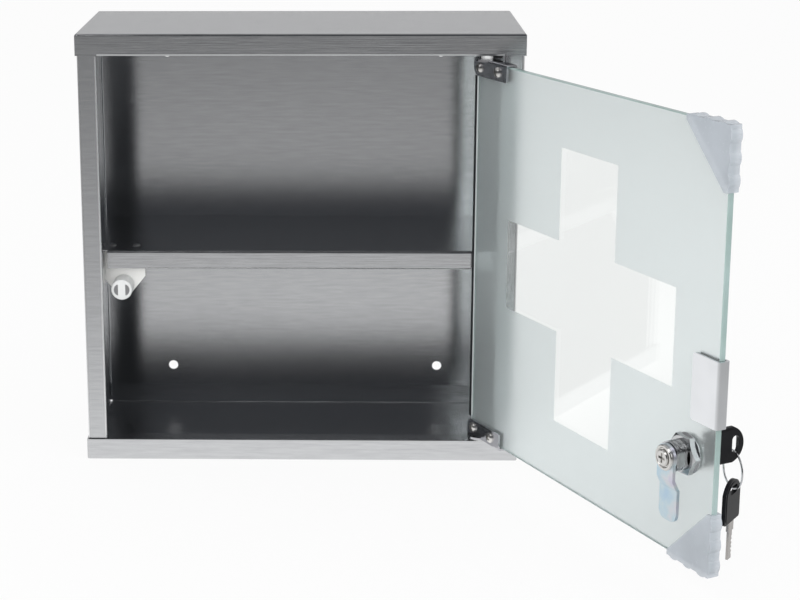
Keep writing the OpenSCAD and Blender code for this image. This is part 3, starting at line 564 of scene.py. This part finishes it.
def addFoldShine(look=foldShine):
    # Strips of much brighter steel along the jambs' folds: a painted highlight
    fold = look["foldRadius"]
    front = (0, -1, 0)
    for side, word in ((-1, "Left"), (1, "Right")):
        folds = (("jambInner", look["innerEdge"] + fold, -side, look["innerAngles"]),
                 ("jambOuter", look["outerEdge"] - fold, side, look["outerAngles"]))
        for name, middle, turn, angles in folds:
            outline = arcBand((side * middle, look["jambFront"] + fold, 0), front, (turn, 0, 0),
                              fold, angles, look["proud"], look["deep"])
            addPiece(name + word, barMesh(name + word, outline, (0, 0, 1), -look["jambReach"],
                                          look["jambReach"]), "paintedHighlight", "cabinet")


def addLipEdges(look=lipEdges):
    for name in ("topLipEdge", "shelfLipEdge"):
        edge = look[name]
        back, high = edge["front"] + look["sunk"], edge["low"] + look["height"]
        outline = [(0, back, edge["low"]),
                   (0, edge["front"] - look["proud"], edge["low"] + edge["proudAt"]), (0, back, high)]
        addPiece(name, barMesh(name, outline, (1, 0, 0), edge["from"], edge["to"]),
                 edge["finish"], "cabinet")


pivot = Vector((0.1242, -0.116, 0))


def opened(x, y, z=0):
    # Where a point of the shut door lies when the door is open
    return pivot + Matrix.Rotation(openAngle, 3, "Z") @ (Vector((x, y, z)) - pivot)


hingeEdge = {
    "edge": 0.132,          # the glass's edge beside the hinges, shut
    "outerFace": -0.118,
    "frostFace": -0.1138,
    "marginWidth": 0.0016,
    "marginProud": 0.00006,
    "shadeLineWidth": 0.003,
    "clear": 0.0006,        # short of the hinge clamps
}


def addHingeEdge(look=hingeEdge):
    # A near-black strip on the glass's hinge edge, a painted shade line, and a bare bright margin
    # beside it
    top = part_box("upper_hinge_bracket")[0].z - look["clear"]
    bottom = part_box("lower_hinge_bracket")[1].z + look["clear"]
    edge, face = look["edge"], look["frostFace"]
    margin = [opened(edge, face), opened(edge, face + look["marginProud"]),
              opened(edge - look["marginWidth"], face + look["marginProud"]),
              opened(edge - look["marginWidth"], face)]
    addPiece("glassMargin", barMesh("glassMargin", margin, (0, 0, 1), bottom, top),
             "margin", "door")
    # The near-black strip is painted shade: a dark line along the hinge edge
    darkShade = [opened(edge, look["outerFace"]), opened(edge + look["shadeLineWidth"], look["outerFace"]),
            opened(edge + look["shadeLineWidth"], face), opened(edge, face)]
    addPiece("paintedShadeLine", barMesh("paintedShadeLine", darkShade, (0, 0, 1), bottom, top),
             "darkShade", "door")


addFrostSheet()
addFoldShine()
addLipEdges()
addHingeEdge()
print("stage: frosting, fold shine and hinge edge made")


# Camera, floor and light

viewSetup = {
    "place": (0.02822, -1.30501, 0.31594),
    "pitch": -0.2311,       # radians, nose down
    "yaw": 0.0241,
    "roll": 0.0039,
    "focalPixels": 1801.5,
    "pictureWidth": 800,
    "shiftPixels": (100, -100),
    "sensor": 36,
    "clip": (0.05, 60),
}


def addCamera(setup=viewSetup):
    data = bpy.data.cameras.new("camera")
    data.sensor_width = setup["sensor"]
    data.lens = setup["focalPixels"] * setup["sensor"] / setup["pictureWidth"]
    data.shift_x = setup["shiftPixels"][0] / setup["pictureWidth"]
    data.shift_y = setup["shiftPixels"][1] / setup["pictureWidth"]
    data.clip_start, data.clip_end = setup["clip"]
    camera = bpy.data.objects.new("camera", data)
    turn = (Matrix.Rotation(setup["yaw"], 3, "Z") @ Matrix.Rotation(setup["pitch"], 3, "X")
            @ Matrix.Rotation(setup["roll"], 3, "Y") @ Matrix.Rotation(math.pi / 2, 3, "X"))
    camera.matrix_world = Matrix.Translation(setup["place"]) @ turn.to_4x4()
    scene.collection.objects.link(camera)
    scene.camera = camera


roomSetup = {
    "floorReach": 6.0,
    "floorTone": 0.86,
    "floorGlow": 0.92,      # share of plain white where the floor is looked at
    "fadeCentre": (0, 1.2, -0.15),
    "fadeStretch": (2.6, 1, 1),
    "fadeStart": 1.32,      # how far from there the floor's mirror image begins to fade
    "fadeReach": 2.0,
    "fade": [(0.0, 1.0), (0.07, 0.92), (0.14, 0.80), (0.25, 0.68), (0.39, 0.52), (0.6, 0.44),
             (0.86, 0.37), (1.0, 0.33)],
    "wallPlace": -4.0,      # the dark front of the room, seen only in the steel
    "wallTop": 3.0,
    "wallTone": (0.08, 0.083, 0.09),
    "skyBack": (0.575, 0.575, 0.58),
    "skyFront": (0.04, 0.04, 0.045),
    "skyStops": (0.30, 0.62),   # where the front's tone ends and the back's begins
    "worldLight": 0.72,
}


def flatPiece(name, corners, material):
    mesh = bpy.data.meshes.new(name)
    mesh.from_pydata(corners, [], [list(range(len(corners)))])
    made = bpy.data.objects.new(name, mesh)
    mesh.materials.append(material)
    scene.collection.objects.link(made)
    return made


def addFloor(setup=roomSetup):
    floorZ = cadBox[0].z
    reach = setup["floorReach"]
    graph = Finish("floor")
    matt = graph.shader({"Color": rgba(*[setup["floorTone"]] * 3)}, "ShaderNodeBsdfDiffuse")
    white = graph.glow(rgba(1, 1, 1))
    spot = graph.out(graph.add("ShaderNodeNewGeometry"), "Position")
    fromCentre = graph.vector("SUBTRACT", spot, setup["fadeCentre"])
    stretched = graph.vector("MULTIPLY", fromCentre, setup["fadeStretch"])
    away = graph.vector("LENGTH", stretched, None, "Value")
    share = (away - setup["fadeStart"]) * (1 / setup["fadeReach"])
    mirrored = graph.glow(graph.ramp(share, [(place, [tone] * 3) for place, tone in setup["fade"]]))
    looked = graph.rays("Is Camera Ray", "Is Transmission Ray") * setup["floorGlow"]
    flatPiece("floor", [(-reach, setup["wallPlace"], floorZ), (reach, setup["wallPlace"], floorZ),
                        (reach, reach, floorZ), (-reach, reach, floorZ)],
              graph.finish(graph.mixShader(graph.rays("Is Glossy Ray"),
                                           graph.mixShader(looked, matt, white), mirrored)))


def addFrontWall(setup=roomSetup):
    floorZ = cadBox[0].z
    reach = setup["floorReach"]
    graph = Finish("front wall")
    y = setup["wallPlace"]
    wall = flatPiece("frontWall", [(-reach, y, floorZ), (reach, y, floorZ),
                                   (reach, y, setup["wallTop"]), (-reach, y, setup["wallTop"])],
                     graph.finish(graph.glow(rgba(*setup["wallTone"]))))
    wall.visible_camera = False
    wall.visible_shadow = False
    wall.visible_diffuse = False


def addSky(setup=roomSetup):
    world = bpy.data.worlds.new("studio")
    scene.world = world
    graph = Finish("studio", world)
    looked = graph.rays("Is Camera Ray", "Is Transmission Ray")
    # 0 in the room's front, 1 at its back
    back = graph.vector("DOT_PRODUCT", graph.coords("Generated"), (0, 1, 0), "Value") * 0.5 + 0.5
    image = graph.ramp(back, list(zip(setup["skyStops"], (setup["skyFront"], setup["skyBack"]))))
    light = setup["worldLight"]
    plain = graph.blend(looked, rgba(light, light, light), rgba(1, 1, 1))
    colour = graph.blend(graph.rays("Is Glossy Ray"), plain, image)
    glow = graph.add("ShaderNodeBackground", None, {"Color": colour, "Strength": 1.0})
    graph.add("ShaderNodeOutputWorld", None, {"Surface": graph.out(glow)})


lampSetup = {
    "key": {"place": (-1.2, -1.4, 1.9), "aim": (0, 0, 0), "size": 1.2, "watts": 9, "mirrored": True},
    "fill": {"place": (1.6, -1.0, 1.0), "aim": (0.1, 0, 0), "size": 1.4, "watts": 6, "mirrored": True},
    # Lights the inside of the cabinet without showing in the steel
    "front": {"place": (-0.2, -1.7, 0.4), "aim": (0, 0, 0), "size": 1.0, "watts": 9, "mirrored": False},
}


def addLamps(setup=lampSetup):
    for name, lamp in setup.items():
        data = bpy.data.lights.new(name, "AREA")
        data.energy = lamp["watts"]
        data.size = lamp["size"]
        made = bpy.data.objects.new(name, data)
        made.location = lamp["place"]
        made.visible_glossy = lamp["mirrored"]
        aim = Vector(lamp["aim"]) - Vector(lamp["place"])
        made.rotation_euler = aim.to_track_quat("-Z", "Y").to_euler()
        scene.collection.objects.link(made)


addCamera()
addFloor()
addFrontWall()
addSky()
addLamps()
scene.view_settings.view_transform = "Standard"
print("stage: camera, room and lamps set")
